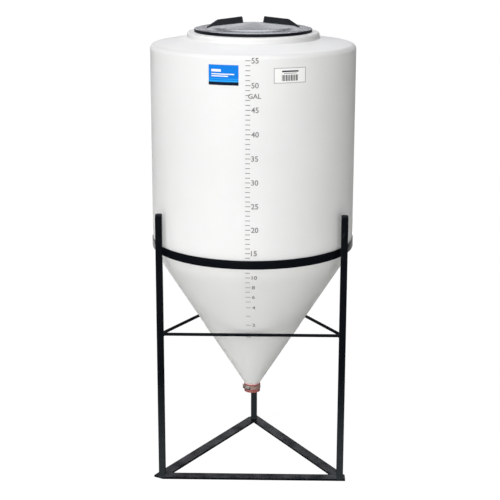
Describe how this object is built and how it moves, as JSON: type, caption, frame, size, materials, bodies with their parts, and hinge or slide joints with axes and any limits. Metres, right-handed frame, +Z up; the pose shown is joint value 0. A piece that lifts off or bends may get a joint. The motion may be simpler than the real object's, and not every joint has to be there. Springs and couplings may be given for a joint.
{
  "type": "cone-bottom storage tank in a tripod stand",
  "caption": "Upright plastic tank with a cone bottom, a lift-off lid and a bottom drain, held in a welded steel tripod stand.",
  "frame": {"origin": "centre of the bounding box at floor level; the tank's axis stands 17 mm in front of it", "axes": "+Z up, the level scale faces -Y, +X to the right of the scale"},
  "size_m": [0.6134, 0.6476, 1.3988],
  "materials": {
    "white_plastic": "translucent white polyethylene, satin, with a printed level scale and two plain labels",
    "black_plastic": "moulded black, semi-gloss",
    "black_paint": "gloss black paint on welded steel",
    "red_rubber": "dark red hose rubber, satin",
    "stainless_steel": "bright stainless strip"
  },
  "bodies": {
    "tank_and_stand": {"tank_wall_front": "white_plastic", "tank_wall_right": "white_plastic", "tank_wall_back": "white_plastic", "tank_wall_left": "white_plastic", "tank_cone_front": "white_plastic", "tank_cone_right": "white_plastic", "tank_cone_back": "white_plastic", "tank_cone_left": "white_plastic", "tank_shoulder_front": "white_plastic", "tank_shoulder_right": "white_plastic", "tank_shoulder_back": "white_plastic", "tank_shoulder_left": "white_plastic", "neck_ring": "white_plastic", "drain_spigot": "white_plastic", "drain_hose": "red_rubber", "clamp_band": "stainless_steel", "clamp_housing": "stainless_steel", "clamp_screw": "stainless_steel", "support_ring": "black_paint", "leg_front_left": "black_paint", "leg_front_right": "black_paint", "leg_rear": "black_paint", "brace_rod_front": "black_paint", "brace_rod_left": "black_paint", "brace_rod_right": "black_paint", "base_bar_front": "black_paint", "base_bar_right": "black_paint", "base_bar_left": "black_paint", "leg_cap_front_left": "black_plastic", "leg_cap_front_right": "black_plastic", "leg_cap_rear": "black_plastic"},
    "lid": {"lid_disc": "black_plastic", "lid_grip_left": "black_plastic", "lid_grip_right": "black_plastic"}
  },
  "joints": [
    {"name": "lid_lift", "type": "slide", "parent": "tank_and_stand", "child": "lid", "axis": [0, 0, 1], "range_m": [0, 0.15]}
  ]
}
